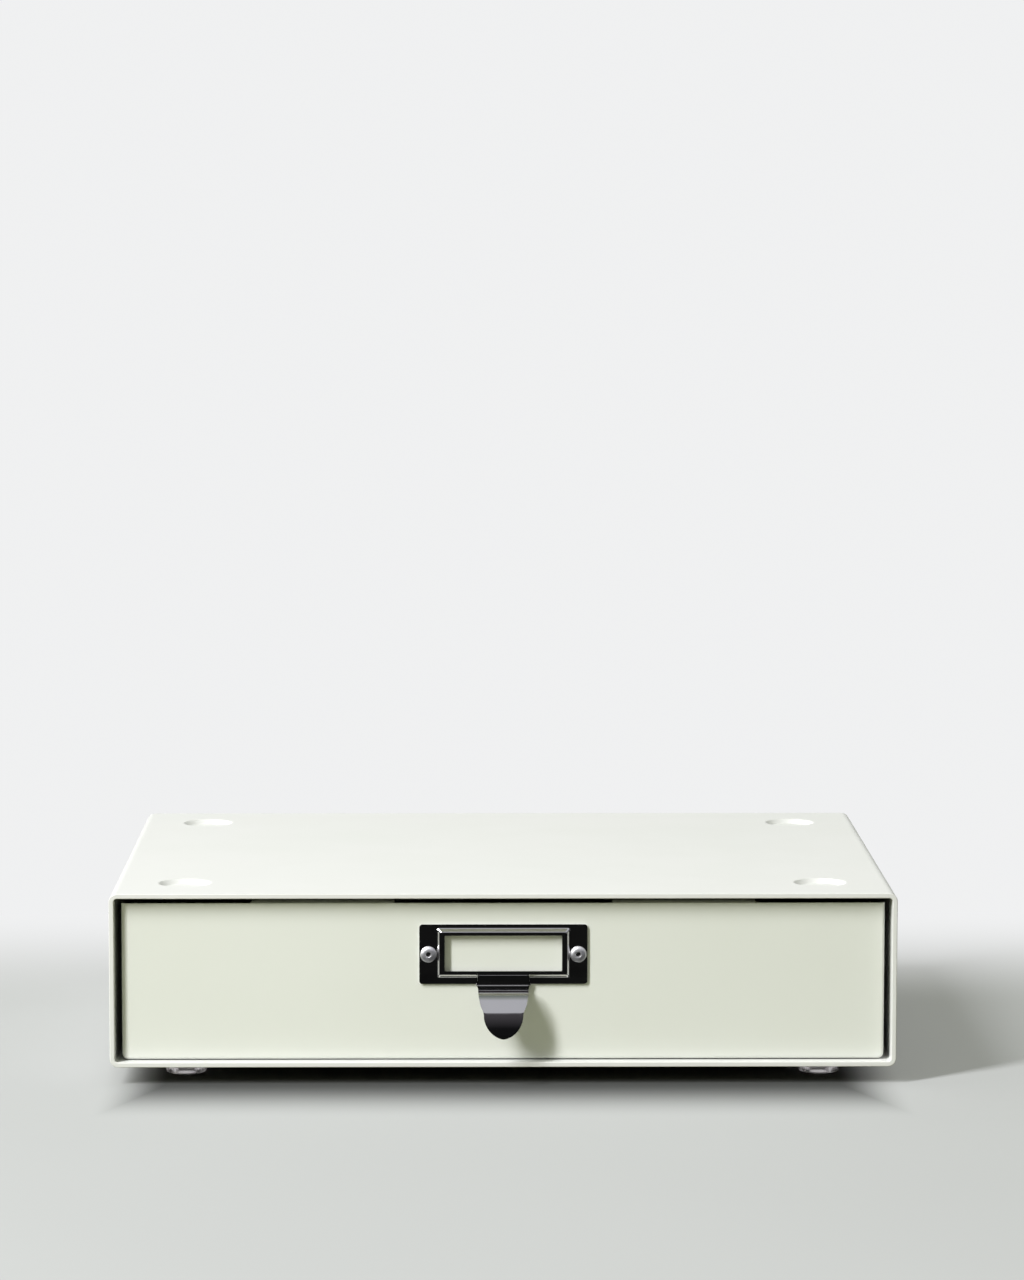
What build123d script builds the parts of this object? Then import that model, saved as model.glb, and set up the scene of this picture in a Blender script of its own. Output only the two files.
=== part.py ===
from build123d import *
import os
from math import atan2, cos, radians, sin, tan

# Stackable drawer unit for a desk.
# A thick bent sheet sleeve stands on four clear feet. The feet sit under four round dishes in its top,
# so that units stack. One sheet metal drawer slides in the sleeve on two low-friction strips.
# X runs to the right, Y to the back and Z up. The drawer's front faces -Y.
# The origin is on the table, under the middle of the unit with its pull. All sizes are in millimetres.

# Sleeve
sleeve_width = 350.0
sleeve_depth = 250.0
sleeve_height = 78.0
sleeve_sheet = 2.2
sleeve_inner_bend = 1.5
sleeve_edge = 0.4

# Rear panel, a shallow pan that closes the back of the sleeve
panel_sheet = 1.2
panel_set_in = 1.0
panel_flange = 10.0
panel_corner_ease = 0.6
panel_bend = 1.2
weld_gap = 0.05

# Feet, with a screw up the middle of each
foot_diameter = 18.2
foot_height = 8.0
foot_inset = 32.0
foot_edge = 0.7
screw_diameter = 4.0
screw_head_diameter = 7.8
screw_head_height = 2.6
screw_head_round = 1.2
screw_set_back = 1.2
screw_end_gap = 0.2
screw_hole_gap = 0.2
thread_gap = 0.05
head_pocket_gap = 0.5
driver_slot_length = 4.0
driver_slot_width = 0.9
driver_slot_depth = 1.5

# Stacking dishes, which take the feet of the unit above
dish_clearance = 0.7
dish_depth = 2.2
dish_slope = 2.1
dish_rim_round = 0.9
dish_floor_round = 0.7

# Drawer front, a pan with returns on both sides and below, and two tabs along its top.
# The side returns stop a little below the top.
drawer_sheet = 1.0
front_recess = 5.0
side_gap = 3.0
top_gap = 2.8
floor_gap = 0.5
front_return = 12.0
return_drop = 2.5
front_inner_bend = 0.4
tab_inner = 48.5
tab_width = 64.0
tab_depth = 14.0
coat_gap = 0.05

# Drawer tray
tray_wall_height = 62.0
tray_hem = 8.0
tray_hem_round = 0.6
tray_inner_bend = 0.5
tray_end_ease = 0.15

# Slide and stop
strip_width = 14.0
strip_inset = 12.0
strip_end_gap = 4.0
running_gap = 0.1
bumper_diameter = 10.0
bumper_thickness = 3.0
bumper_round = 1.6
bumper_inset = 53.0
stop_gap = 0.3

# Label holder, stamped from one sheet with the pull
holder_sheet = 1.0
holder_ear = 8.1
holder_margin_top = 1.7
holder_margin_bottom = 2.35
holder_corner = 1.4
holder_rise = 12.3
window_width = 52.2
window_height = 16.0
window_corner = 0.4
frame_lift = 1.6
lip_side = 1.8
lip_top = 1.55
lip_bottom = 1.15
bevel_side = 1.4
bevel_top = 1.75
bevel_bottom = 1.85
pocket_inset = 0.45

# Pull, the tongue below the window
pull_width = 23.0
pull_neck = 3.4
pull_bend = 3.0
pull_shelf_angle = 20.0
pull_brow = 14.0
pull_fall_angle = 80.0
pull_lip = 9.8
pull_shoulder_width = 20.8
pull_shoulder_rise = 15.1
pull_tip_width = 17.5
pull_tip_length = 10.5

# Blind rivets of nominal 4 mm, with the stub of the mandrel left inside. Each fills its drilled hole.
rivet_diameter = 3.9
rivet_head_diameter = 7.3
rivet_head_height = 1.3
rivet_hole_gap = 0.04
rivet_tail_diameter = 5.8
rivet_tail_length = 3.4
rivet_tail_round = 0.9
mandrel_diameter = 2.2
mandrel_gap = 0.05
mandrel_set_back = 1.1
mandrel_head_diameter = 3.4
mandrel_head_length = 1.4
mandrel_head_round = 1.1

# How near a face or edge lies to the level it is picked by
level_tolerance = 0.01

# Levels
sleeve_base_z = foot_height
sleeve_top_z = foot_height + sleeve_height
sleeve_floor_z = sleeve_base_z + sleeve_sheet
sleeve_roof_z = sleeve_top_z - sleeve_sheet
front_bottom_z = sleeve_floor_z + floor_gap
front_top_z = sleeve_roof_z - top_gap
front_height = front_top_z - front_bottom_z
tray_bottom_z = front_bottom_z + drawer_sheet + coat_gap
tray_top_z = tray_bottom_z + tray_wall_height
tray_front_top_z = front_top_z - drawer_sheet - coat_gap
holder_z = (front_bottom_z + front_top_z) / 2 + holder_rise

# Sheet bends, from the inside out, so that each sheet nests in the next
sleeve_corner = sleeve_inner_bend + sleeve_sheet
tray_corner = tray_inner_bend + drawer_sheet
front_inner_corner = tray_corner + coat_gap
front_corner = front_inner_corner + drawer_sheet
front_bend = front_inner_bend + drawer_sheet
tray_end_bend = front_inner_bend + tray_end_ease

# Label holder, from the window outwards
frame_top_width = window_width + 2 * lip_side
frame_top_height = window_height + lip_top + lip_bottom
frame_top_z = holder_z + (lip_top - lip_bottom) / 2
frame_foot_width = frame_top_width + 2 * bevel_side
frame_foot_height = frame_top_height + bevel_top + bevel_bottom
frame_foot_z = frame_top_z + (bevel_top - bevel_bottom) / 2
holder_width = frame_foot_width + 2 * holder_ear
holder_height = frame_foot_height + holder_margin_top + holder_margin_bottom
holder_middle_z = frame_foot_z + (holder_margin_top - holder_margin_bottom) / 2
rivet_places = [(side * (frame_foot_width + holder_ear) / 2, holder_z) for side in (-1, 1)]

# Profile of the pull, as distances out from the drawer's face and up from the holder's middle
frame_out = frame_lift + holder_sheet
pull_shelf = radians(pull_shelf_angle)
pull_fall = radians(pull_fall_angle)
bend_turn = radians(90) - pull_shelf
bend_centre = (frame_out + pull_bend, -window_height / 2 - lip_bottom - pull_neck)
brow_centre = (
    bend_centre[0] - (pull_bend + pull_brow) * cos(bend_turn),
    bend_centre[1] - (pull_bend + pull_brow) * sin(bend_turn),
)
pull_reach = brow_centre[0] + pull_brow * sin(pull_fall) + pull_lip * cos(pull_fall)
pull_drop = -(brow_centre[1] + pull_brow * cos(pull_fall) - pull_lip * sin(pull_fall))

# Places from front to back
front_overhang = pull_reach - front_recess
sleeve_front_y = (front_overhang - sleeve_depth) / 2
sleeve_rear_y = sleeve_front_y + sleeve_depth
panel_back_y = sleeve_rear_y - panel_set_in
panel_face_y = panel_back_y - panel_sheet
face_y = sleeve_front_y + front_recess
tray_front_y = face_y + drawer_sheet + coat_gap
tray_rear_y = panel_face_y - bumper_thickness - stop_gap
tray_length = tray_rear_y - tray_front_y

# Widths
front_width = sleeve_width - 2 * sleeve_sheet - 2 * side_gap
tray_width = front_width - 2 * drawer_sheet - 2 * coat_gap
cavity_width = tray_width - 2 * drawer_sheet
cavity_length = tray_length - 2 * drawer_sheet

foot_places = {
    "front_left": (-(sleeve_width / 2 - foot_inset), sleeve_front_y + foot_inset),
    "front_right": (sleeve_width / 2 - foot_inset, sleeve_front_y + foot_inset),
    "rear_left": (-(sleeve_width / 2 - foot_inset), sleeve_rear_y - foot_inset),
    "rear_right": (sleeve_width / 2 - foot_inset, sleeve_rear_y - foot_inset),
}
sides = {"left": -1, "right": 1}


def upright_plane(y):
    """A plane across the unit at y, seen from the front: its x is X, its y is Z, its normal is -Y."""
    return Plane.XZ.offset(-y)


def trough_outline(width, height, bottom_radius):
    """A rectangle standing on the sketch's x axis, with its two lower corners rounded."""
    with BuildSketch() as outline:
        Rectangle(width, height, align=(Align.CENTER, Align.MIN))
        fillet(outline.vertices().group_by(Axis.Y)[0], radius=bottom_radius)
    return outline.sketch


def at_level(shapes, z):
    """Those faces or edges whose middle lies at height z."""
    return shapes.filter_by_position(Axis.Z, z - level_tolerance, z + level_tolerance)


def finish(part_builder, name):
    """Label a finished piece and write it."""
    part_builder.part.label = name
    export_step(part_builder.part, f"parts/{name}.step")


os.makedirs("parts", exist_ok=True)

# Sleeve: one sheet bent round all four sides, with a stamped dish over each foot
dish_floor_radius = foot_diameter / 2 + dish_clearance
dish_rim_radius = dish_floor_radius + dish_slope
dish_under_step = sleeve_sheet * tan(atan2(dish_depth, dish_slope) / 2)

with BuildPart() as shell:
    with BuildSketch(upright_plane(sleeve_front_y)):
        with Locations((0, sleeve_base_z + sleeve_height / 2)):
            RectangleRounded(sleeve_width, sleeve_height, sleeve_corner)
            RectangleRounded(
                sleeve_width - 2 * sleeve_sheet,
                sleeve_height - 2 * sleeve_sheet,
                sleeve_inner_bend,
                mode=Mode.SUBTRACT,
            )
    extrude(amount=-sleeve_depth)
    rims = shell.faces().filter_by(Axis.Y).sort_by(Axis.Y)
    fillet(rims[0].edges() + rims[-1].edges(), radius=sleeve_edge)
    for x, y in foot_places.values():
        with Locations((x, y, sleeve_roof_z)):
            Cone(
                bottom_radius=dish_floor_radius + dish_under_step,
                top_radius=dish_rim_radius + dish_under_step,
                height=dish_depth,
                align=(Align.CENTER, Align.CENTER, Align.MAX),
            )
        with Locations((x, y, sleeve_top_z)):
            Cone(
                bottom_radius=dish_floor_radius,
                top_radius=dish_rim_radius,
                height=dish_depth,
                align=(Align.CENTER, Align.CENTER, Align.MAX),
                mode=Mode.SUBTRACT,
            )
        with Locations((x, y, sleeve_base_z)):
            Cylinder(
                screw_diameter / 2 + thread_gap,
                sleeve_sheet,
                align=(Align.CENTER, Align.CENTER, Align.MIN),
                mode=Mode.SUBTRACT,
            )
    circles = shell.edges().filter_by(GeomType.CIRCLE)
    dish_rims = at_level(circles, sleeve_top_z)
    fillet(dish_rims, radius=dish_rim_round)
    circles = shell.edges().filter_by(GeomType.CIRCLE)
    dish_floors = at_level(circles, sleeve_top_z - dish_depth)
    fillet(dish_floors, radius=dish_floor_round)
finish(shell, "shell")

# Rear panel: its flanges turn forward inside the sleeve, where they are spot welded
panel_width = sleeve_width - 2 * sleeve_sheet - 2 * weld_gap
panel_height = sleeve_height - 2 * sleeve_sheet - 2 * weld_gap
panel_corner = sleeve_inner_bend + panel_corner_ease

with BuildPart() as rear_panel:
    with BuildSketch(upright_plane(panel_back_y)):
        with Locations((0, sleeve_base_z + sleeve_height / 2)):
            RectangleRounded(panel_width, panel_height, panel_corner)
    extrude(amount=panel_flange)
    back_edges = rear_panel.faces().sort_by(Axis.Y)[-1].edges()
    fillet(back_edges, radius=panel_bend)
    with BuildSketch(upright_plane(panel_face_y)):
        with Locations((0, sleeve_base_z + sleeve_height / 2)):
            Rectangle(panel_width - 2 * panel_sheet, panel_height - 2 * panel_sheet)
    extrude(amount=panel_flange, mode=Mode.SUBTRACT)
finish(rear_panel, "rear_panel")

# Feet: clear cylinders with a pocket for the screw's head in the base
head_pocket_radius = screw_head_diameter / 2 + head_pocket_gap
head_pocket_depth = screw_set_back + screw_head_height

for place, (x, y) in foot_places.items():
    with BuildPart() as foot:
        with BuildSketch(Plane.XY):
            with Locations((x, y)):
                Circle(foot_diameter / 2)
        extrude(amount=foot_height)
        fillet(foot.faces().sort_by(Axis.Z)[0].edges(), radius=foot_edge)
        with Locations((x, y, 0)):
            Cylinder(
                head_pocket_radius,
                head_pocket_depth,
                align=(Align.CENTER, Align.CENTER, Align.MIN),
                mode=Mode.SUBTRACT,
            )
            Cylinder(
                screw_diameter / 2 + screw_hole_gap,
                foot_height,
                align=(Align.CENTER, Align.CENTER, Align.MIN),
                mode=Mode.SUBTRACT,
            )
    finish(foot, f"foot_{place}")

# Foot screws: pan heads with a cross recess, threaded up into the sleeve's bottom
screw_length = foot_height - head_pocket_depth + sleeve_sheet - screw_end_gap

for place, (x, y) in foot_places.items():
    with BuildPart() as foot_screw:
        with BuildSketch(Plane.XY.offset(screw_set_back)):
            with Locations((x, y)):
                Circle(screw_head_diameter / 2)
        extrude(amount=screw_head_height)
        fillet(foot_screw.faces().sort_by(Axis.Z)[0].edges(), radius=screw_head_round)
        with BuildSketch(Plane.XY.offset(head_pocket_depth)):
            with Locations((x, y)):
                Circle(screw_diameter / 2)
        extrude(amount=screw_length)
        with BuildSketch(Plane.XY.offset(screw_set_back)):
            with Locations((x, y)):
                Rectangle(driver_slot_length, driver_slot_width)
                Rectangle(driver_slot_width, driver_slot_length)
        extrude(amount=driver_slot_depth, mode=Mode.SUBTRACT)
    finish(foot_screw, f"foot_screw_{place}")

# Drawer tray: an open box of folded sheet, hemmed round the sides and back
with BuildPart() as drawer_tray:
    with BuildSketch(upright_plane(tray_front_y)):
        with Locations((0, tray_bottom_z)):
            add(trough_outline(tray_width, tray_wall_height, tray_corner))
    extrude(amount=-tray_length)
    with BuildSketch(upright_plane(tray_front_y)):
        with Locations((0, tray_bottom_z)):
            add(trough_outline(tray_width, tray_front_top_z - tray_bottom_z, tray_corner))
    extrude(amount=-drawer_sheet)
    for end in (0, -1):
        end_edges = drawer_tray.faces().sort_by(Axis.Y)[end].edges()
        fillet(end_edges.sort_by(Axis.Z)[:-1], radius=tray_end_bend)
    with BuildSketch(upright_plane(tray_front_y + drawer_sheet)):
        with Locations((0, tray_bottom_z + drawer_sheet)):
            add(trough_outline(cavity_width, tray_wall_height, tray_inner_bend))
    extrude(amount=-cavity_length, mode=Mode.SUBTRACT)
    with BuildSketch(Plane.XY.offset(tray_top_z - tray_hem)):
        with Locations((0, tray_front_y + drawer_sheet)):
            Rectangle(cavity_width, cavity_length, align=(Align.CENTER, Align.MIN))
            Rectangle(
                cavity_width - 2 * drawer_sheet,
                cavity_length - drawer_sheet,
                align=(Align.CENTER, Align.MIN),
                mode=Mode.SUBTRACT,
            )
    extrude(amount=tray_hem)
    rim_edges = at_level(drawer_tray.faces().filter_by(Axis.Z), tray_top_z).edges()
    hem_edges = rim_edges.filter_by_position(Axis.Y, tray_front_y + tray_hem, tray_rear_y + level_tolerance)
    fillet(hem_edges, radius=tray_hem_round)
    with BuildSketch(upright_plane(tray_front_y)):
        with Locations(*rivet_places):
            Circle(rivet_diameter / 2 + rivet_hole_gap)
    extrude(amount=-drawer_sheet, mode=Mode.SUBTRACT)
finish(drawer_tray, "drawer_tray")

# Drawer front: a pan that wraps the tray's front end, with two tabs folded back over the tray's front wall
with BuildPart() as front_hollow:
    with BuildSketch(upright_plane(face_y + drawer_sheet)):
        with Locations((0, front_bottom_z + drawer_sheet)):
            add(trough_outline(front_width - 2 * drawer_sheet, front_height, front_inner_corner))
    extrude(amount=-front_return)
    hollow_edges = front_hollow.faces().sort_by(Axis.Y)[0].edges()
    fillet(hollow_edges.sort_by(Axis.Z)[:-1], radius=front_inner_bend)

with BuildPart() as drawer_front:
    with BuildSketch(upright_plane(face_y)):
        with Locations((0, front_bottom_z)):
            add(trough_outline(front_width, front_height, front_corner))
    extrude(amount=-front_return)
    face_edges = drawer_front.faces().sort_by(Axis.Y)[0].edges()
    fillet(face_edges.sort_by(Axis.Z)[:-1], radius=front_bend)
    add(front_hollow.part, mode=Mode.SUBTRACT)
    with BuildSketch(Plane.XY.offset(front_top_z - return_drop)):
        with Locations((0, face_y + front_bend)):
            Rectangle(front_width, front_return, align=(Align.CENTER, Align.MIN))
    extrude(amount=return_drop, mode=Mode.SUBTRACT)
    with BuildSketch(Plane.XY.offset(front_top_z - drawer_sheet)):
        for side in sides.values():
            with Locations((side * (tab_inner + tab_width / 2), face_y)):
                Rectangle(tab_width, tab_depth, align=(Align.CENTER, Align.MIN))
    extrude(amount=drawer_sheet)
    with BuildSketch(upright_plane(face_y)):
        with Locations(*rivet_places):
            Circle(rivet_diameter / 2 + rivet_hole_gap)
    extrude(amount=-drawer_sheet, mode=Mode.SUBTRACT)
finish(drawer_front, "drawer_front")

# Label holder and pull: a flat plate, a raised frame round the window, and the tongue below
pull_root_z = holder_z - window_height / 2
pull_tip_z = holder_z - pull_drop
brow_middle = (pull_shelf + pull_fall) / 2


def bend_point(turn, below):
    """A point on the pull's inner bend, at a depth below its visible surface."""
    radius = pull_bend + below
    out = bend_centre[0] - radius * cos(turn)
    rise = bend_centre[1] - radius * sin(turn)
    return (face_y - out, holder_z + rise)


def brow_point(fall, below, lip=0.0):
    """A point on the pull's outer curve, or past its end along the straight lip."""
    radius = pull_brow - below
    out = brow_centre[0] + radius * sin(fall) + lip * cos(fall)
    rise = brow_centre[1] + radius * cos(fall) - lip * sin(fall)
    return (face_y - out, holder_z + rise)


with BuildPart() as pull:
    with BuildSketch(Plane.YZ.offset(-pull_width / 2)):
        with BuildLine():
            Line((face_y - frame_out, pull_root_z), bend_point(0, 0))
            ThreePointArc(bend_point(0, 0), bend_point(bend_turn / 2, 0), bend_point(bend_turn, 0))
            ThreePointArc(brow_point(pull_shelf, 0), brow_point(brow_middle, 0), brow_point(pull_fall, 0))
            Line(brow_point(pull_fall, 0), brow_point(pull_fall, 0, pull_lip))
            Line(brow_point(pull_fall, 0, pull_lip), brow_point(pull_fall, holder_sheet, pull_lip))
            Line(brow_point(pull_fall, holder_sheet, pull_lip), brow_point(pull_fall, holder_sheet))
            ThreePointArc(
                brow_point(pull_fall, holder_sheet),
                brow_point(brow_middle, holder_sheet),
                brow_point(pull_shelf, holder_sheet),
            )
            ThreePointArc(
                bend_point(bend_turn, holder_sheet),
                bend_point(bend_turn / 2, holder_sheet),
                bend_point(0, holder_sheet),
            )
            Line(bend_point(0, holder_sheet), (face_y - frame_lift, pull_root_z))
            Line((face_y - frame_lift, pull_root_z), (face_y - frame_out, pull_root_z))
        make_face()
    extrude(amount=pull_width)
    with BuildSketch(upright_plane(face_y)):
        with BuildLine():
            for side in sides.values():
                Line((0, pull_root_z), (side * pull_width / 2, pull_root_z))
                Line((side * pull_width / 2, pull_root_z), (side * pull_width / 2, holder_z + bend_centre[1]))
                Spline(
                    (side * pull_width / 2, holder_z + bend_centre[1]),
                    (side * pull_shoulder_width / 2, pull_tip_z + pull_shoulder_rise),
                    (side * pull_tip_width / 2, pull_tip_z + pull_tip_length),
                    tangents=((0, -1), (0, -1)),
                )
            EllipticalCenterArc(
                (0, pull_tip_z + pull_tip_length),
                pull_tip_width / 2,
                pull_tip_length,
                start_angle=180,
                arc_size=180,
            )
        make_face()
    extrude(amount=pull_reach + holder_sheet, mode=Mode.INTERSECT)

with BuildPart() as label_holder:
    with BuildSketch(upright_plane(face_y)):
        with Locations((0, holder_middle_z)):
            RectangleRounded(holder_width, holder_height, holder_corner)
    extrude(amount=holder_sheet)
    with BuildSketch(upright_plane(face_y - holder_sheet)):
        with Locations((0, frame_foot_z)):
            Rectangle(frame_foot_width, frame_foot_height)
    with BuildSketch(upright_plane(face_y - frame_out)):
        with Locations((0, frame_top_z)):
            Rectangle(frame_top_width, frame_top_height)
    loft()
    with BuildSketch(upright_plane(face_y)):
        with Locations((0, frame_foot_z)):
            Rectangle(frame_foot_width - 2 * pocket_inset, frame_foot_height - 2 * pocket_inset)
    with BuildSketch(upright_plane(face_y - frame_lift)):
        with Locations((0, frame_top_z)):
            Rectangle(frame_top_width - 2 * pocket_inset, frame_top_height - 2 * pocket_inset)
    loft(mode=Mode.SUBTRACT)
    with BuildSketch(upright_plane(face_y)):
        with Locations((0, holder_z)):
            RectangleRounded(window_width, window_height, window_corner)
        with Locations(*rivet_places):
            Circle(rivet_diameter / 2 + rivet_hole_gap)
    extrude(amount=frame_out, mode=Mode.SUBTRACT)
    add(pull.part)
finish(label_holder, "label_holder")

# Blind rivets: a domed head outside, a set tail inside, and a bore down the middle
rivet_head_y = face_y - holder_sheet
rivet_tail_y = tray_front_y + drawer_sheet
rivet_end_y = rivet_tail_y + rivet_tail_length
mandrel_start_y = rivet_head_y - rivet_head_height + mandrel_set_back
mandrel_length = rivet_end_y - mandrel_start_y
mandrel_bore_radius = mandrel_diameter / 2 + mandrel_gap

for side_name, (rivet_x, rivet_z) in zip(sides, rivet_places):
    with BuildPart() as rivet:
        with BuildSketch(Plane.YZ.offset(rivet_x)):
            with BuildLine():
                bore_base = (rivet_head_y, rivet_z + mandrel_bore_radius)
                bore_lip = (rivet_head_y - rivet_head_height, rivet_z + mandrel_bore_radius)
                head_rim = (rivet_head_y, rivet_z + rivet_head_diameter / 2)
                Line(bore_lip, bore_base)
                Line(bore_base, head_rim)
                EllipticalCenterArc(
                    bore_base,
                    rivet_head_height,
                    rivet_head_diameter / 2 - mandrel_bore_radius,
                    start_angle=90,
                    arc_size=90,
                )
            make_face()
        revolve(axis=Axis((rivet_x, 0, rivet_z), (0, 1, 0)))
        with BuildSketch(upright_plane(rivet_head_y)):
            with Locations((rivet_x, rivet_z)):
                Circle(rivet_diameter / 2)
                Circle(mandrel_bore_radius, mode=Mode.SUBTRACT)
        extrude(amount=-(rivet_tail_y - rivet_head_y))
        with BuildSketch(upright_plane(rivet_tail_y)):
            with Locations((rivet_x, rivet_z)):
                Circle(rivet_tail_diameter / 2)
        extrude(amount=-rivet_tail_length)
        tail_edges = rivet.faces().sort_by(Axis.Y)[-1].edges()
        fillet(tail_edges, radius=rivet_tail_round)
        with BuildSketch(upright_plane(rivet_tail_y)):
            with Locations((rivet_x, rivet_z)):
                Circle(mandrel_bore_radius)
        extrude(amount=-rivet_tail_length, mode=Mode.SUBTRACT)
    finish(rivet, f"rivet_{side_name}")

    with BuildPart() as mandrel:
        with BuildSketch(upright_plane(mandrel_start_y)):
            with Locations((rivet_x, rivet_z)):
                Circle(mandrel_diameter / 2)
        extrude(amount=-mandrel_length)
        with BuildSketch(upright_plane(rivet_end_y)):
            with Locations((rivet_x, rivet_z)):
                Circle(mandrel_head_diameter / 2)
        extrude(amount=-mandrel_head_length)
        fillet(mandrel.faces().sort_by(Axis.Y)[-1].edges(), radius=mandrel_head_round)
    finish(mandrel, f"rivet_mandrel_{side_name}")

# Glide strips: stuck under the tray, they carry the drawer on the sleeve's floor
strip_bottom_z = sleeve_floor_z + running_gap
strip_start_y = face_y + front_return + strip_end_gap
strip_length = panel_back_y - panel_flange - strip_end_gap - strip_start_y

for side_name, side in sides.items():
    with BuildPart() as glide_strip:
        with BuildSketch(Plane.XY.offset(strip_bottom_z)):
            with Locations((side * (tray_width / 2 - strip_inset - strip_width / 2), strip_start_y)):
                Rectangle(strip_width, strip_length, align=(Align.CENTER, Align.MIN))
        extrude(amount=tray_bottom_z - strip_bottom_z)
    finish(glide_strip, f"glide_strip_{side_name}")

# Rear bumpers: clear domes on the rear panel that stop the tray with its front set back in the sleeve
bumper_z = tray_bottom_z + tray_wall_height / 2

for side_name, side in sides.items():
    with BuildPart() as bumper:
        with BuildSketch(upright_plane(panel_face_y)):
            with Locations((side * (panel_width / 2 - bumper_inset), bumper_z)):
                Circle(bumper_diameter / 2)
        extrude(amount=bumper_thickness)
        fillet(bumper.faces().sort_by(Axis.Y)[0].edges(), radius=bumper_round)
    finish(bumper, f"rear_bumper_{side_name}")
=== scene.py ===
# %% [markdown]
# # A stackable steel drawer unit
#
# This notebook dresses a finished CAD model of a desk drawer: a bent sheet sleeve on four clear
# feet, with one drawer whose front carries a plated label holder and pull. The CAD model already
# has the right sizes, so Blender only adds the looks. Sheet metal parts keep their CAD shape and
# get a coat. Small turned, moulded and stamped parts are modelled again here, with finer edges. X
# runs to the right, Y to the back and Z up, in metres, and the drawer's front faces -Y.

from math import asin, cos, degrees, exp, pi, radians, sin, sqrt

import bmesh
import bpy
from mathutils import Matrix, Vector


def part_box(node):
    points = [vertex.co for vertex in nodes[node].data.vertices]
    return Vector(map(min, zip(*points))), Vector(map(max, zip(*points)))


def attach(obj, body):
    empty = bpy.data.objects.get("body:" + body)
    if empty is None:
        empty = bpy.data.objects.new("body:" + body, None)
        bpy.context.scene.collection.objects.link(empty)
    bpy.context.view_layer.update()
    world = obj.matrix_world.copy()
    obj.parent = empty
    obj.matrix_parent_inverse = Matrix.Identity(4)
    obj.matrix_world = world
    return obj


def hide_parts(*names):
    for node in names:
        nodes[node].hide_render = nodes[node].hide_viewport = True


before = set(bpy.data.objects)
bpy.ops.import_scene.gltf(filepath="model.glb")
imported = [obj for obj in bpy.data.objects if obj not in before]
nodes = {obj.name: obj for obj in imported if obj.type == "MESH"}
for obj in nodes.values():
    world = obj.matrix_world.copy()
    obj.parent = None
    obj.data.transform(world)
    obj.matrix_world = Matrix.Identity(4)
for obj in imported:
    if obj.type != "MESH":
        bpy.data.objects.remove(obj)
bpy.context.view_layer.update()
MM = 0.001


# %% [markdown]
# ## Where things are
#
# Every new piece has to sit exactly where its CAD node is. Instead of typing places in, we
# measure the boxes of the nodes and work in millimetres from there, which is how the real parts
# are drawn.

# %% Measure the CAD nodes in millimetres
def node_box(name):
    """The lowest and highest corner of a CAD node, in millimetres."""
    low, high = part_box(name)
    return low / MM, high / MM


def node_middle(name):
    """The middle of a CAD node, in millimetres."""
    low, high = node_box(name)
    return (low + high) / 2


sleeve_low, sleeve_high = node_box("shell")
print("sleeve:", [round(v, 1) for v in sleeve_high - sleeve_low], "mm wide, deep and high")


# %% [markdown]
# ## The camera
#
# Product pictures like this one are taken from far away with a long lens, so that the box hardly
# tapers. The camera stands two metres in front of the unit, a little above it, and looks slightly
# down. Turning it with three plain rotations in a fixed order keeps each angle readable.
#
# Blender keeps the data of a thing, such as a lens, a mesh or a lamp, apart from the object that
# stands in the scene. A small helper makes that object, and every later piece uses it too.

# %% Set up the camera
def show(name, data):
    """Put data into the scene as an object."""
    thing = bpy.data.objects.new(name, data)
    bpy.context.scene.collection.objects.link(thing)
    return thing


camera_data = bpy.data.cameras.new("camera")
camera_data.sensor_width = 36.0
camera_data.lens = 125.1
camera_data.clip_end = 60.0
camera = show("camera", camera_data)
bpy.context.scene.camera = camera

camera_place = Vector((-0.0196, -2.0688, 0.4040))
look_right, look_down, lean = radians(-0.684), radians(-6.0), radians(-0.051)
camera.matrix_world = (
    Matrix.Translation(camera_place)
    @ Matrix.Rotation(look_right, 4, "Z")
    @ Matrix.Rotation(look_down, 4, "X")
    @ Matrix.Rotation(lean, 4, "Y")
    @ Matrix.Rotation(pi / 2, 4, "X")
)
print("camera", [round(v, 3) for v in camera.location], "lens", camera_data.lens, "mm")


# %% [markdown]
# ## Small helpers for node trees
#
# A material is a tree of nodes. Written out one by one they take many lines, so one helper adds a
# node and fills its inputs, either with a value or with a link from another node. An input is
# picked by its name, or by its number where several inputs share one name.

# %% Helpers to add nodes and materials
def add_node(tree, kind, inputs=None, **settings):
    """Add a node, change its settings, and fill inputs with values or links."""
    node = tree.nodes.new(kind)
    for name, value in settings.items():
        setattr(node, name, value)
    for key, value in (inputs or {}).items():
        if isinstance(value, bpy.types.NodeSocket):
            tree.links.new(value, node.inputs[key])
        else:
            node.inputs[key].default_value = value
    return node


def new_material(name, **surface):
    """A material with one Principled shader. The surface values go on the shader's own sockets."""
    material = bpy.data.materials.new(name)
    material.use_nodes = True
    tree = material.node_tree
    shader = tree.nodes["Principled BSDF"]
    for key, value in surface.items():
        shader.inputs[key.replace("_", " ")].default_value = value
    return material, tree, shader


# %% [markdown]
# ## Helpers for surfaces
#
# Almost every surface here is made of the same three things: a tone, a roughness and a bump, each
# driven by noise. Noise is measured in millimetres of the real surface, so that a speckle keeps
# its size on every piece.

# %% Helpers for noise, colour and bump
def noise(tree, size, detail=2.0, stretch=(1, 1, 1)):
    """Noise with blotches of this size in millimetres, longer along axes with a larger stretch."""
    place = add_node(tree, "ShaderNodeTexCoord").outputs["Object"]
    scale = [1 / (size * MM * s) for s in stretch]
    mapped = add_node(tree, "ShaderNodeMapping", {"Vector": place, "Scale": scale}).outputs[0]
    inputs = {"Vector": mapped, "Scale": 1.0, "Detail": detail}
    return add_node(tree, "ShaderNodeTexNoise", inputs).outputs["Fac"]


# noise stays near its middle, so only values between these two are used
noise_low, noise_high = 0.3, 0.7


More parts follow.
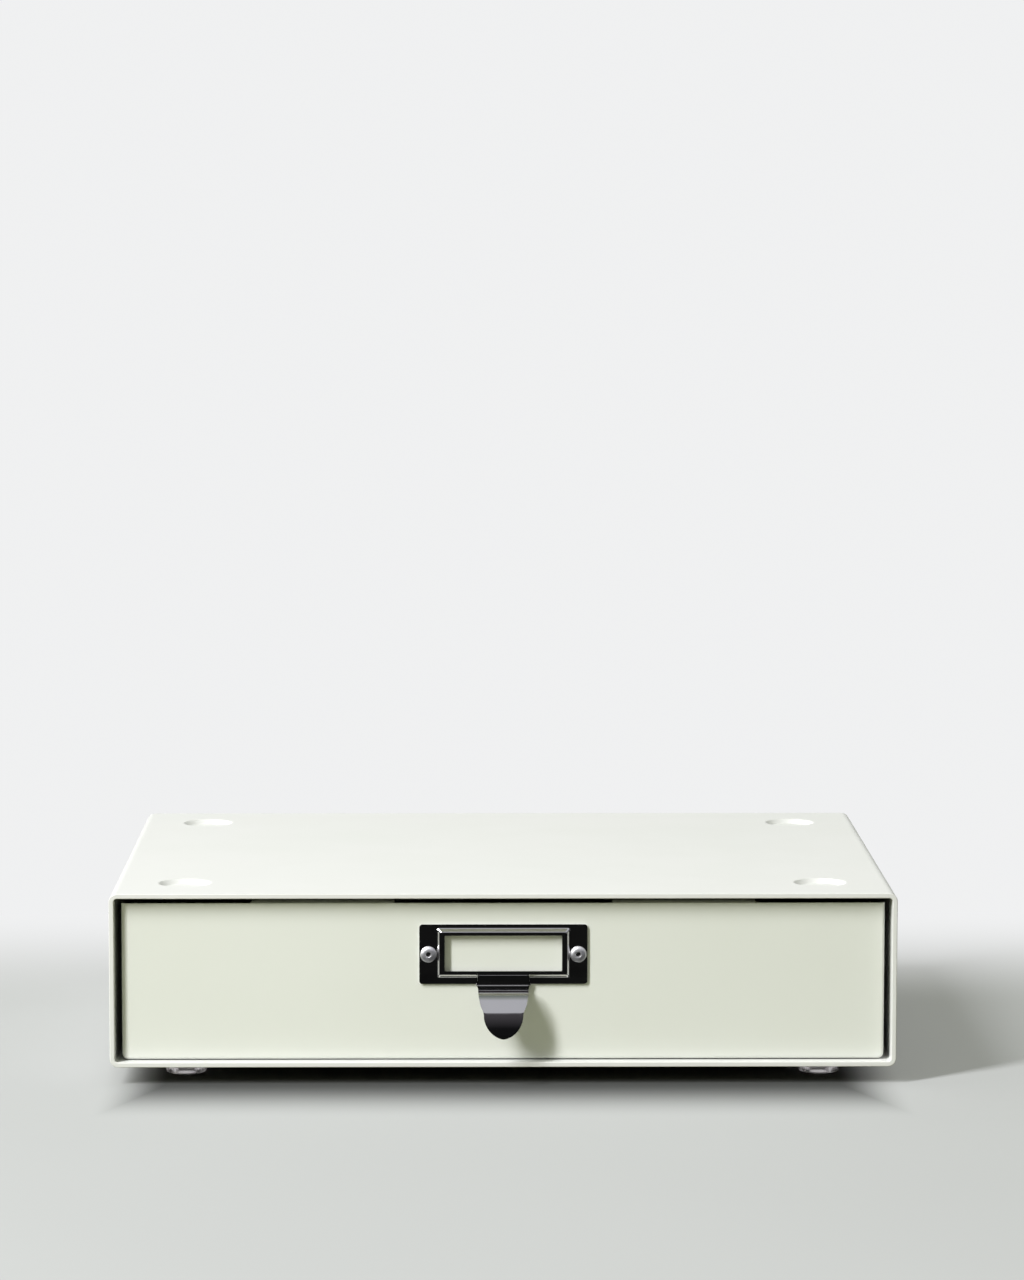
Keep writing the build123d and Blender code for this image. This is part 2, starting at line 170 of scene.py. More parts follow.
def spread(tree, value, low, high):
    """Stretch the middle of a noise over the range from low to high."""
    inputs = {"Value": value, 1: noise_low, 2: noise_high, 3: low, 4: high}
    return add_node(tree, "ShaderNodeMapRange", inputs).outputs[0]


def tint(tree, value, dark, light):
    """Turn a noise into a colour between two colours."""
    ramp = add_node(tree, "ShaderNodeValToRGB", {"Fac": value})
    stops = zip(ramp.color_ramp.elements, (noise_low, noise_high), (dark, light))
    for stop, position, colour in stops:
        stop.position = position
        stop.color = (*colour, 1)
    return ramp.outputs["Color"]


def bump(tree, height, depth, normal=None):
    """Bump of a real depth in millimetres, laid over another bump if one is given."""
    inputs = {"Height": height, "Distance": depth * MM, "Strength": 1.0}
    if normal is not None:
        inputs["Normal"] = normal
    return add_node(tree, "ShaderNodeBump", inputs).outputs[0]


def dress(tree, shader, tone, gloss, normal):
    """Link a colour, a roughness and a bump to the shader."""
    for name, value in {"Base Color": tone, "Roughness": gloss, "Normal": normal}.items():
        tree.links.new(value, shader.inputs[name])


# %% [markdown]
# ## Powder coat
#
# The sleeve and the drawer are sprayed with a pale cream powder that melts into a satin skin. Up
# close it is not flat: it has a soft orange peel of about a millimetre, finer grain on top, and
# it levels out a little differently from place to place, which shows as slight changes in gloss
# and tone. Layered noise does this without any picture. The sleeve's coat is a little less
# yellow-green than the drawer's, so each gets its own material.

# %% Make the powder coats
def powder_coat(name, light, dark, patch):
    """Satin powder coat. Patch is the size of its slow changes in tone, in millimetres."""
    smoothest, roughest = 0.38, 0.46
    peel_size, peel_depth, grain_size, grain_depth = 1.6, 0.012, 0.35, 0.002
    material, tree, shader = new_material(name, IOR=1.5)
    tone = tint(tree, noise(tree, patch), dark, light)
    gloss = spread(tree, noise(tree, patch / 3), smoothest, roughest)
    peel = bump(tree, noise(tree, peel_size, detail=1.0), peel_depth)
    grain = bump(tree, noise(tree, grain_size, detail=1.0), grain_depth, normal=peel)
    dress(tree, shader, tone, gloss, grain)
    return material


# the finishes, by the name of the material slot that the CAD record gives them
finishes = {
    "cream_coat_sleeve": powder_coat(
        "sleeve_powder_coat", light=(0.81, 0.81, 0.805), dark=(0.795, 0.80, 0.79), patch=90
    ),
    "cream_coat_drawer": powder_coat(
        "drawer_powder_coat", light=(0.815, 0.833, 0.79), dark=(0.80, 0.818, 0.77), patch=70
    ),
}
print("coats:", list(finishes))


# %% [markdown]
# ## Plated and plain metals
#
# The label holder is nickel plated and polished, so it is almost a mirror. What makes it look
# real is that a pressed sheet is never quite flat: a very slow bump bends the reflections, and
# hair scratches from wiping dull it here and there. The rivets are soft bare aluminium, which the
# setting tool leaves satin rather than bright. The broken end of the mandrel gets a near-black
# steel tone, a painted shade for the dark hole in each rivet, and the foot screws are zinc plated,
# with the faint warm and cool clouds that zinc has.

# %% Make the metals
def metal(name, light, dark, patch, rough, wave, scratch):
    """A metal: two tones, a range of roughness, and bumps given as (size, depth) in millimetres."""
    material, tree, shader = new_material(name, Metallic=1.0)
    tone = tint(tree, noise(tree, patch), dark, light)
    haze = spread(tree, noise(tree, patch / 2, detail=4.0), *rough)
    slow = bump(tree, noise(tree, wave[0], detail=1.0), wave[1])
    hair = bump(tree, noise(tree, scratch[0], stretch=(12, 1, 1)), scratch[1], normal=slow)
    dress(tree, shader, tone, haze, hair)
    return material


finishes["nickel_plate"] = metal(
    "polished_nickel", light=(0.70, 0.69, 0.68), dark=(0.64, 0.63, 0.62), patch=20,
    rough=(0.035, 0.08), wave=(10, 0.03), scratch=(0.15, 0.0004),
)
finishes["rivet_metal"] = metal(
    "bare_aluminium", light=(0.95, 0.95, 0.96), dark=(0.90, 0.90, 0.91), patch=3,
    rough=(0.42, 0.5), wave=(2.5, 0.01), scratch=(0.1, 0.001),
)
# painted shade: the mandrel's steel is near black, so that the hole in each rivet's dome looks dark
finishes["mandrel_steel"] = metal(
    "mandrel_steel_painted_shade", light=(0.08, 0.078, 0.075), dark=(0.04, 0.04, 0.04), patch=0.6,
    rough=(0.45, 0.6), wave=(0.5, 0.05), scratch=(0.1, 0.01),
)
finishes["steel_screw"] = metal(
    "zinc_plated_steel", light=(0.66, 0.66, 0.62), dark=(0.52, 0.54, 0.6), patch=3,
    rough=(0.24, 0.4), wave=(2, 0.01), scratch=(0.12, 0.003),
)
print("finishes so far:", [material.name for material in finishes.values()])


# %% [markdown]
# ## Plastics
#
# The feet and the bumpers are cast from clear plastic that is a little milky: part of the light
# goes through and is bent as in glass, and part is scattered in it. The glide strips are slippery
# white plastic tape, which gets fine scores along the way it slides.

# %% Make the plastics
clear_plastic, tree, shader = new_material("cast_clear_plastic", IOR=1.49, Transmission_Weight=0.8)
milk = tint(tree, noise(tree, 6), (0.90, 0.87, 0.89), (0.95, 0.92, 0.94))
frost = spread(tree, noise(tree, 4, detail=3.0), 0.14, 0.22)
ripple = bump(tree, noise(tree, 3.5), 0.003)
dress(tree, shader, milk, frost, ripple)

glide_tape, tree, shader = new_material("white_glide_tape", IOR=1.5)
white = tint(tree, noise(tree, 12), (0.84, 0.84, 0.82), (0.91, 0.91, 0.89))
slip = spread(tree, noise(tree, 2), 0.42, 0.6)
score = bump(tree, noise(tree, 0.3, stretch=(1, 40, 1)), 0.01)
dress(tree, shader, white, slip, score)

finishes["clear_plastic"] = clear_plastic
finishes["glide_plastic"] = glide_tape
print("plastics:", clear_plastic.name, glide_tape.name)


# %% [markdown]
# ## The sheet metal parts
#
# The sleeve, the rear panel, the drawer's front and its tray are all folded sheet, and their CAD
# shapes have the true bends, rounded cut edges and stamped dishes. They stay as they are: we only
# put our materials into their material slots. The glide strips are plain tape, so they stay as
# well.

# %% Coat the CAD nodes that stay
slot_of = {
    "shell": "cream_coat_sleeve",
    "rear_panel": "cream_coat_sleeve",
    "drawer_tray": "cream_coat_drawer",
    "drawer_front": "cream_coat_drawer",
    "glide_strip_left": "glide_plastic",
    "glide_strip_right": "glide_plastic",
}
for name, slot in slot_of.items():
    for material_slot in nodes[name].material_slots:
        material_slot.material = finishes[slot]
print("dressed:", ", ".join(slot_of))


# %% [markdown]
# ## Making a piece from a mesh
#
# Each new piece ends the same way. It gets the material of its finish, rides on a CAD body so
# that it moves with it, and hides the CAD node that it replaces. Smooth shading with sharp edges
# kept above an angle makes round parts look round and cut edges look cut.

# %% Finish a piece
def add_piece(name, mesh, slot, body, node, place=(0, 0, 0)):
    """Show a mesh as a piece of the object, in place of a CAD node. Place is in millimetres."""
    piece = show(name, mesh)
    piece.location = Vector(place) * MM
    if not mesh.materials:
        mesh.materials.append(finishes[slot])
    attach(piece, body)
    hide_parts(node)
    return piece


def smooth(mesh, sharp_above=40):
    """Shade a mesh smooth, but keep edges sharper than this many degrees."""
    mesh.shade_smooth()
    mesh.set_sharp_from_angle(angle=radians(sharp_above))


def mesh_from(name, build):
    """A mesh in metres from a bmesh in millimetres, with its faces turned outwards."""
    bmesh.ops.remove_doubles(build, verts=build.verts, dist=0.0005)
    bmesh.ops.recalc_face_normals(build, faces=build.faces)
    bmesh.ops.scale(build, vec=(MM, MM, MM), verts=build.verts)
    mesh = bpy.data.meshes.new(name)
    build.to_mesh(mesh)
    build.free()
    smooth(mesh)
    return mesh


# %% [markdown]
# ## Turned shapes
#
# Feet, bumpers, rivets, mandrels and screw heads are all round, so half of their outline, spun
# about an axis, gives the whole. Real parts have no razor edges. Each corner of the outline
# carries its own rounding, and a small curve through the corner's two neighbours makes it.

# %% Helpers for turned shapes
def blended(a, b, c, t):
    """A point of the small curve that leaves a towards b and ends at c, for t from 0 to 1."""
    return a * (1 - t) ** 2 + b * 2 * t * (1 - t) + c * t**2


def rounded(outline, closed=False, steps=5):
    """Turn corners (radius, height, rounding) into a smooth line of (radius, height)."""
    line = []
    count = len(outline)
    for i, (x, y, rounding) in enumerate(outline):
        corner = Vector((x, y))
        inner = closed or 0 < i < count - 1
        if not (rounding and inner):
            line.append(corner)
            continue
        before = Vector(outline[i - 1][:2])
        after = Vector(outline[(i + 1) % count][:2])
        start = corner + (before - corner).normalized() * rounding
        end = corner + (after - corner).normalized() * rounding
        line += [blended(start, corner, end, k / steps) for k in range(steps + 1)]
    return line


def turned(name, outline, axis="Z", closed=False, sides=64, steps=5):
    """Spin an outline about an axis through the origin. Heights run along the axis."""
    build = bmesh.new()
    along = Vector((0, 0, 1)) if axis == "Z" else Vector((0, 1, 0))
    line = rounded(outline, closed, steps)
    points = [build.verts.new(Vector((r, 0, 0)) + along * h) for r, h in line]
    pairs = list(zip(points, points[1:])) + ([(points[-1], points[0])] if closed else [])
    edges = [build.edges.new(pair) for pair in pairs]
    bmesh.ops.spin(
        build,
        geom=points + edges,
        cent=(0, 0, 0),
        axis=along,
        angle=2 * pi,
        steps=sides,
        use_merge=True,
    )
    return mesh_from(name, build)


# %% [markdown]
# ## Clear feet
#
# Each foot is a short clear cylinder with a pocket in its base, where the screw's head hides, and
# a hole up the middle. Because it is clear, the pocket and the screw show through the side, so
# the inside has to be modelled as carefully as the outside. The top stops a hair below the
# sleeve: two faces in one place would confuse the light inside the plastic.

# %% Build the feet
foot_corners = ("front_left", "front_right", "rear_left", "rear_right")
foot_middles = {corner: node_middle(f"foot_{corner}") for corner in foot_corners}
foot_places = {corner: (middle.x, middle.y, 0) for corner, middle in foot_middles.items()}
foot_low, foot_high = node_box("foot_front_left")
foot_radius = (foot_high.x - foot_low.x) / 2
foot_height = foot_high.z - foot_low.z
pocket_radius, pocket_depth, screw_hole_radius = 4.4, 3.8, 2.2
hair_gap = 0.02

foot_mesh = turned(
    "clear_foot",
    [
        (screw_hole_radius, foot_height - hair_gap, 0.2),
        (screw_hole_radius, pocket_depth, 0.2),
        (pocket_radius, pocket_depth, 0.35),
        (pocket_radius, hair_gap, 0.4),
        (foot_radius, hair_gap, 0.9),
        (foot_radius, foot_height - hair_gap, 0.3),
    ],
    closed=True,
    sides=96,
)
for corner, place in foot_places.items():
    add_piece(
        f"clear_foot_{corner}", foot_mesh, "clear_plastic", "shell", f"foot_{corner}", place
    )
print("feet", round(2 * foot_radius, 1), "mm across,", len(foot_mesh.polygons), "faces each")


# %% [markdown]
# ## Foot screws
#
# A pan head screw holds each foot to the sleeve. Its thread is one ridge that winds round the
# shank. On a grid of points wrapped round the axis, we push each point out by where it lies
# between two turns of the ridge, and the turn shifts the pattern by one pitch per round, which
# makes a true helix.

# %% A helper for the thread
def helix_shank(radius, pitch, depth, start, end, sides=32, rows_per_turn=8):
    """A threaded shank with closed ends, as a bmesh in millimetres."""
    build = bmesh.new()
    row_count = round((end - start) / pitch * rows_per_turn)
    rows = []
    for j in range(row_count + 1):
        height = start + (end - start) * j / row_count
        runout = min(1, j / rows_per_turn, (row_count - j) / (2 * rows_per_turn))
        row = []
        for i in range(sides):
            turn = i / sides
            ridge = abs(((height / pitch - turn) % 1) * 2 - 1)
            r = radius - depth * (1 - runout * ridge)
            row.append(build.verts.new((r * cos(2 * pi * turn), r * sin(2 * pi * turn), height)))
        rows.append(row)
    for lower, upper in zip(rows, rows[1:]):
        for i in range(sides):
            k = (i + 1) % sides
            build.faces.new((lower[i], lower[k], upper[k], upper[i]))
    build.faces.new(list(reversed(rows[0])))
    build.faces.new(rows[-1])
    return build


# %% [markdown]
# ## The cross recess
#
# A punch with the shape of a driver's tip presses the recess into the screw's head. A boolean
# modifier cuts the same shape with a tapered cross.

# %% Helpers for the cross recess
def cross_cutter(half_length, half_width, depth, taper):
    """A tapered cross that points up from z = 0, to cut a driver recess."""
    build = bmesh.new()
    for turn in (0, pi / 2):
        corners = bmesh.ops.create_cube(build, size=2.0)["verts"]
        for v in corners:
            narrow = taper if v.co.z > 0 else 1
            x, y = v.co.x * half_length * narrow, v.co.y * half_width * narrow
            v.co = Vector((x, y, (v.co.z + 1) / 2 * depth))
        rotation = Matrix.Rotation(turn, 3, "Z")
        bmesh.ops.rotate(build, verts=corners, cent=(0, 0, 0), matrix=rotation)
    return build


def cut(mesh, cutter):
    """Subtract one mesh from another and return the result."""
    whole, tool = show("whole", mesh), show("tool", cutter)
    modifier = whole.modifiers.new("cut", "BOOLEAN")
    modifier.object = tool
    modifier.solver = "EXACT"
    modifier.use_self = True
    scene_now = bpy.context.evaluated_depsgraph_get()
    result = bpy.data.meshes.new_from_object(whole.evaluated_get(scene_now))
    for helper in (whole, tool):
        bpy.data.objects.remove(helper)
    return result


# %% Build the foot screws
screw_low, screw_high = node_box("foot_screw_front_left")
screw_set_back, screw_top = screw_low.z, screw_high.z
head_radius, head_height, head_round = (screw_high.x - screw_low.x) / 2, 2.6, 1.5
cross_length, cross_width, cross_depth, cross_taper = 2.0, 0.45, 1.5, 0.45
thread_radius, thread_pitch, thread_depth = 1.98, 0.7, 0.32
shank_in_head = 0.1

head_mesh = turned(
    "screw_head",
    [
        (0, screw_set_back, 0),
        (head_radius, screw_set_back, head_round),
        (head_radius, screw_set_back + head_height, 0.15),
        (0, screw_set_back + head_height, 0),
    ],
)
recess = mesh_from("recess", cross_cutter(cross_length, cross_width, cross_depth, cross_taper))
just_below_head = screw_set_back - 0.01
recess.transform(Matrix.Translation((0, 0, just_below_head * MM)))
head_mesh = cut(head_mesh, recess)

shank_start = screw_set_back + head_height - shank_in_head
shank = helix_shank(thread_radius, thread_pitch, thread_depth, shank_start, screw_top)
shank_mesh = mesh_from("shank", shank)
joined = bmesh.new()
joined.from_mesh(head_mesh)
joined.from_mesh(shank_mesh)
screw_mesh = bpy.data.meshes.new("foot_screw")
joined.to_mesh(screw_mesh)
joined.free()
smooth(screw_mesh, 50)

for corner, place in foot_places.items():
    add_piece(
        f"pan_screw_{corner}", screw_mesh, "steel_screw", "shell", f"foot_screw_{corner}", place
    )
print("screws:", len(screw_mesh.polygons), "faces each")


# %% [markdown]
# ## Rear bumpers
#
# Two soft clear domes on the inside of the rear panel stop the drawer. A stick-on bumper has a
# flat back, a short straight side and a round crown, and it sinks very slightly in the middle
# where it was cast.

# %% Build the bumpers
crown_round, dip_radius, dip_depth = 2.2, 0.9, 0.12

for side in ("left", "right"):
    low, high = node_box(f"rear_bumper_{side}")
    middle = (low + high) / 2
    bumper_radius, bumper_thickness = (high.x - low.x) / 2, high.y - low.y
    bumper_mesh = turned(
        "clear_bumper",
        [
            (0, bumper_thickness - hair_gap, 0),
            (bumper_radius, bumper_thickness - hair_gap, 0.2),
            (bumper_radius, 0, crown_round),
            (dip_radius, 0, 0.5),
            (0, dip_depth, 0),
        ],
        axis="Y",
    )
    place = (middle.x, low.y, middle.z)
    add_piece(
        f"clear_bumper_{side}", bumper_mesh, "clear_plastic", "shell", f"rear_bumper_{side}", place
    )
print("bumpers", round(2 * bumper_radius, 1), "mm across")


# %% [markdown]
# ## Blind rivets
#
# A blind rivet is set from the front: a tool pulls a headed pin, the mandrel, until its head has
# squeezed the tail into a bulb behind the sheets, and then the pin snaps off inside. In front
# that leaves a dome with a small dark hole, and behind a bulb with the mandrel's head in it.

# %% Outlines of a rivet and of what is left of its mandrel
def rivet_outline(front, back):
    """Half of a set rivet, from its mouth round the dome and the tail, and back down the bore."""
    bore, dome_radius, shank, tail_radius, tail = 1.15, 3.65, 1.95, 2.9, 3.4
    dome, rim, mouth, dome_rows = 1.3, 0.12, bore + 0.12, 9
    outline = [(bore, front + 0.25, 0.0), (mouth, front, 0.1)]
    for k in range(1, dome_rows):
        turn = pi / 2 * k / dome_rows
        radius = mouth + (dome_radius - mouth) * sin(turn)
        outline.append((radius, front + (dome - rim) * (1 - cos(turn)), 0.0))
    outline += [
        (dome_radius, front + dome - rim, 0.0),
        (dome_radius - 0.05, front + dome, 0.0),
        (shank, front + dome, 0.0),
        (shank, back - tail, 0.0),
        (tail_radius - 0.4, back - tail, 0.3),
        (tail_radius, back - tail + 0.7, 0.5),
        (tail_radius - 0.1, back - 1.2, 0.7),
        (tail_radius - 0.8, back, 0.4),
        (bore + 0.3, back, 0.1),
        (bore, back - 0.3, 0.0),
    ]
    return outline


def mandrel_outline(front, back, head_radius):
    """Half of a broken mandrel: a small cup where it snapped, a plain pin, and its round head."""
    radius, head = 1.1, 1.4
    return [
        (0, front + 0.28, 0),
        (radius * 0.55, front + 0.1, 0.2),
        (radius * 0.8, front, 0.1),
        (radius, front + 0.35, 0.1),
        (radius, back - head, 0.05),
        (head_radius, back - head, 0.15),
        (head_radius, back, 1.3),
        (0, back, 0),
    ]


# %% Build the rivets and what is left of their mandrels
for side in ("left", "right"):
    low, high = node_box(f"rivet_{side}")
    place = Vector(((low.x + high.x) / 2, low.y, (low.z + high.z) / 2))
    outline = rivet_outline(0, high.y - low.y)
    rivet_mesh = turned("blind_rivet", outline, axis="Y", closed=True, sides=72, steps=3)
    add_piece(f"blind_rivet_{side}", rivet_mesh, "rivet_metal", "drawer", f"rivet_{side}", place)

    pin_low, pin_high = node_box(f"rivet_mandrel_{side}")
    pin_head_radius = (pin_high.x - pin_low.x) / 2
    outline = mandrel_outline(pin_low.y - low.y, pin_high.y - low.y, pin_head_radius)
    pin_mesh = turned("mandrel_stub", outline, axis="Y", sides=48)
    add_piece(
        f"mandrel_stub_{side}", pin_mesh, "mandrel_steel", "drawer", f"rivet_mandrel_{side}", place
    )
print("rivets:", len(rivet_mesh.polygons), "faces, mandrels:", len(pin_mesh.polygons), "faces")


# %% [markdown]
# ## Label holder: the frame
#
# The holder is pressed from one sheet: a flat plate with two ears for the rivets, and a raised
# frame round an open window, which sits a little above the line of the rivets. Rings of points
# round the window, each a rectangle with round corners, describe all of it.

# %% Sizes of the frame
face_y = node_box("drawer_front")[0].y
holder_low, holder_high = node_box("label_holder")
holder_z = node_middle("rivet_left").z
sheet, frame_out = 1.0, 2.6
window_width, window_height = 52.2, 16.0
# the window and the plate's top edge lie this much higher than in the CAD
window_lift, edge_lift = 0.64, 0.45
# how far the lip, the bevel and the plate reach past the window at its sides, top and bottom
lip = (1.8, 2.17, 0.9)
bevel = (3.65, 3.75, 2.45)
plate_side = (holder_high.x - holder_low.x - window_width) / 2
plate_top = holder_high.z - holder_z - window_height / 2 + edge_lift
plate = (plate_side, plate_top, 5.35)


def key_ring(reach, corner, out):
    """Width, height, middle above the window's, corner radius, and distance out from the face."""
    side, top, bottom = reach
    return (window_width + 2 * side, window_height + top + bottom, (top - bottom) / 2, corner, out)


key_rings = [
    key_ring((0, window_lift, -window_lift), 0.4, frame_out),
    key_ring(lip, 0.6, frame_out),
    key_ring(bevel, 1.1, sheet),
    key_ring(plate, 1.4, sheet),
]
print("window", window_width, "by", window_height, "mm, plate", [round(v, 2) for v in plate])


# %% Points along a ring
pull_half_width, pull_columns, corner_steps = 11.5, 16, 6
# a fine slit parts the plate from the pull, and the bevels at the sides run down in a slight S
slit, side_sweep = 0.06, 0.22
column_xs = [pull_half_width * (2 * i / pull_columns - 1) for i in range(pull_columns + 1)]
bottom_xs = [-pull_half_width - slit] + column_xs + [pull_half_width + slit]


def ring_at(position):
    """The measures of the ring at a position between two key rings."""
    i = min(int(position), len(key_rings) - 2)
    t = position - i
    measures = [a + (b - a) * t for a, b in zip(key_rings[i], key_rings[i + 1])]
    if i == 1:
        swept = t + side_sweep * sin(2 * pi * t) / (2 * pi)
        measures[0] += (key_rings[2][0] - key_rings[1][0]) * (swept - t)
    return measures


def ring_points(width, height, middle, corner, out):
    """Points round a rectangle with round corners, anticlockwise from the lower left."""
    w, h = width / 2 - corner, height / 2 - corner
    flat = [(x, -height / 2) for x in bottom_xs]
    for cx, cz, first in ((w, -h, -90), (w, h, 0), (-w, h, 90), (-w, -h, 180)):
        for k in range(corner_steps + 1):
            turn = radians(first + 90 * k / corner_steps)
            flat.append((cx + corner * cos(turn), cz + corner * sin(turn)))
        if first == 0:
            flat += [(-x, height / 2) for x in bottom_xs]
    return [Vector((x, face_y - out, holder_z + middle + z)) for x, z in flat]


print(len(bottom_xs), "points along the lower edge of each ring")


# %% [markdown]
# ## Label holder: bends in the sheet
#
# A press leaves each bend with a small radius, and on polished metal it is the bends that catch
# the light. So we place more rings between the key rings, closest together along the bends. A
# ring's position counts the key rings from 0 at the window to 3 at the plate's edge, so 1.5 is
# halfway down the bevel.

# %% Place the rings
def soft_bend(at, before, after, steps=6):
    """Positions along a bend, from before a key ring to after it, each with the distance out."""
    places = (at - before, at, at + after)
    outs = [ring_at(place)[4] for place in places]
    return [(blended(*places, k / steps), blended(*outs, k / steps)) for k in range(steps + 1)]


stations = [(0.0, frame_out)]
stations += soft_bend(1, before=0.14, after=0.1)
stations += [(position, ring_at(position)[4]) for position in (1.2, 1.3, 1.4, 1.5)]
stations += soft_bend(2, before=0.4, after=0.06)
stations += [(position, sheet) for position in (2.5, 3.0)]
print(len(stations), "rings from the window to the edge of the plate")


# %% [markdown]
# ## Label holder: the pull
#
# The tongue is part of the same sheet. It leaves the frame below the window, steps back twice,
# folds forward into a short shelf, rolls over a wide brow and falls to a round tip. We walk down
# its side view in straights and arcs, as a bending tool would make them, and keep the points on
# the way.

# %% Side view of the pull
bend_radius, bend_turn = 0.5, 35
neck_length, step_radius, step_turn, root_length = 4.03, 0.4, 55, 1.8
fold_radius, shelf_fall, shelf_length = 0.12, 2, 3.95
roll_radius, roll_fall = 2.0, 33
brow_radius, brow_fall = 14.0, 72.5
tip_fall = 86
tip_rise = holder_low.z - holder_z


def straight(line, length, fall, rows):
    """Go on in a straight. Fall is the angle below the level, in degrees."""
    out, rise = line[-1]
    step = Vector((cos(radians(fall)), -sin(radians(fall)))) * length / rows
    line += [Vector((out, rise)) + step * k for k in range(1, rows + 1)]


def arc(line, radius, fall, next_fall, rows):
    """Go on in an arc, from one angle below the level to the next."""
    first, last = radians(fall), radians(next_fall)
    start = Vector(line[-1])
    signed = radius if last > first else -radius
    for k in range(1, rows + 1):
        turn = first + (last - first) * k / rows
        line.append(start + signed * Vector((sin(turn) - sin(first), cos(turn) - cos(first))))


side_view = [Vector((frame_out, -window_height / 2 - lip[2]))]
arc(side_view, bend_radius, 90, 90 + bend_turn, 4)
arc(side_view, bend_radius, 90 + bend_turn, 90, 4)
straight(side_view, neck_length, 90, 3)
arc(side_view, step_radius, 90, 90 + step_turn, 5)
arc(side_view, step_radius, 90 + step_turn, 90, 5)
straight(side_view, root_length, 90, 2)
arc(side_view, fold_radius, 90, shelf_fall, 8)
straight(side_view, shelf_length, shelf_fall, 4)
arc(side_view, roll_radius, shelf_fall, roll_fall, 6)
arc(side_view, brow_radius, roll_fall, brow_fall, 16)
tip_radius = (tip_rise - side_view[-1].y) / (cos(radians(tip_fall)) - cos(radians(brow_fall)))
arc(side_view, tip_radius, brow_fall, tip_fall, 40)
print("pull: tip at", [round(v, 2) for v in side_view[-1]], "mm out and up")


# %% [markdown]
# ## Label holder: the width of the pull
#
# The pull's width follows a smooth line down to an elliptical tip. Near the tip a square grid is
# mapped onto half an ellipse, so that the faces stay even and none shrinks to a point.

# %% Front view of the pull
tip_half_width, tip_length, tip_point, tip_rows = 8.75, 10.5, 0.1, 12
ellipse_top = tip_rise + tip_length
shoulder_half_width, shoulder_rise = 10.35, tip_rise + 15.1
narrow_start = -window_height / 2 - lip[2] - 3.65
# the pull flares a little where it passes the plate's lower edge
flare, flare_rise, flare_height = 0.7, -window_height / 2 - plate[2] - 0.3, 0.45


def pull_out(rise):
    """How far the tongue stands out from the drawer's face at a height from the window's middle."""
    for (out, high), (next_out, low) in zip(side_view, side_view[1:]):
        if low <= rise < high:
            return out + (next_out - out) * (high - rise) / (high - low)
    return side_view[-1].x


def ease(t, start, end, slope_in, slope_out):
    """A smooth line between two values, with given slopes at its ends."""
    return (
        start * (1 + 2 * t) * (1 - t) ** 2
        + slope_in * t * (1 - t) ** 2
        + end * t**2 * (3 - 2 * t)
        - slope_out * t**2 * (1 - t)
    )


def pull_half(rise):
    """Half the width of the tongue at a height above its tip's ellipse."""
    if rise >= narrow_start:
        return pull_half_width
    if rise > flare_rise - 3 * flare_height:
        return pull_half_width + flare * exp(-(((rise - flare_rise) / flare_height) ** 2))
    narrowing = (pull_half_width - tip_half_width) / (narrow_start - ellipse_top)
    if rise > shoulder_rise:
        span = narrow_start - shoulder_rise
        t, slope = (narrow_start - rise) / span, -narrowing * span
        return ease(t, pull_half_width, shoulder_half_width, 0, slope)
    span = shoulder_rise - ellipse_top
    t, slope = (shoulder_rise - rise) / span, -narrowing * span
    return ease(t, shoulder_half_width, tip_half_width, slope, 0)


print("pull", 2 * pull_half_width, "mm wide at its root,", 2 * tip_half_width, "mm at its tip")


# %% Rows of points down the pull
def pull_rows():
    """Rows of points down the tongue, each as (x, out, rise)."""
    above_tip = [(out, rise) for out, rise in side_view[1:] if rise > ellipse_top + 0.1]
    above_tip.append((pull_out(ellipse_top), ellipse_top))
    shares = [x / pull_half_width for x in column_xs]
    rows = [[(share * pull_half(rise), out, rise) for share in shares] for out, rise in above_tip]
    for k in range(1, tip_rows + 1):
        down = k / tip_rows
        row = []
        for share in shares:
            along = down * sqrt(1 - share**2 / 2)
            x = tip_half_width * share * sqrt(1 - down**2 / 2) * max(0, 1 - along**2) ** tip_point
            rise = ellipse_top - tip_length * along
            row.append((x, pull_out(rise), rise))
        rows.append(row)
    return rows


print(len(pull_rows()), "rows of", len(column_xs), "points")


# %% Build the sheet of the label holder
build = bmesh.new()
rings = []
for position, out in stations:
    points = ring_points(*ring_at(position)[:4], out)
    rings.append([build.verts.new(point) for point in points])
# the pull takes over from the rings where the frame's lip ends below the window
root_ring = next(i for i, (position, out) in enumerate(stations) if position > 0.5)
for i, (inner, outer) in enumerate(zip(rings, rings[1:])):
    for k in range(len(inner)):
        under_pull = k < len(bottom_xs) - 1
        if i >= root_ring and under_pull:
            continue
        following = (k + 1) % len(inner)
        build.faces.new((inner[k], inner[following], outer[following], outer[k]))
above = rings[root_ring][1:1 + len(column_xs)]
for row in pull_rows():
    below = [build.verts.new((x, face_y - out, holder_z + rise)) for x, out, rise in row]
    for k in range(pull_columns):
        build.faces.new((above[k], above[k + 1], below[k + 1], below[k]))
    above = below
bmesh.ops.delete(build, geom=[v for v in build.verts if not v.link_faces], context="VERTS")
holder_mesh = mesh_from("label_frame_and_pull", build)
holder = add_piece("label_frame_and_pull", holder_mesh, "nickel_plate", "drawer", "label_holder")
print("label holder:", len(holder_mesh.polygons), "faces before its thickness")


# %% [markdown]
# ## Label holder: thickness and edges
#
# Modifiers give the surface its thickness and round its cut edges a little, as tumbling does
# before plating. The last modifier shades each face after its own plane, so that the flat parts
# mirror as flat ones do.

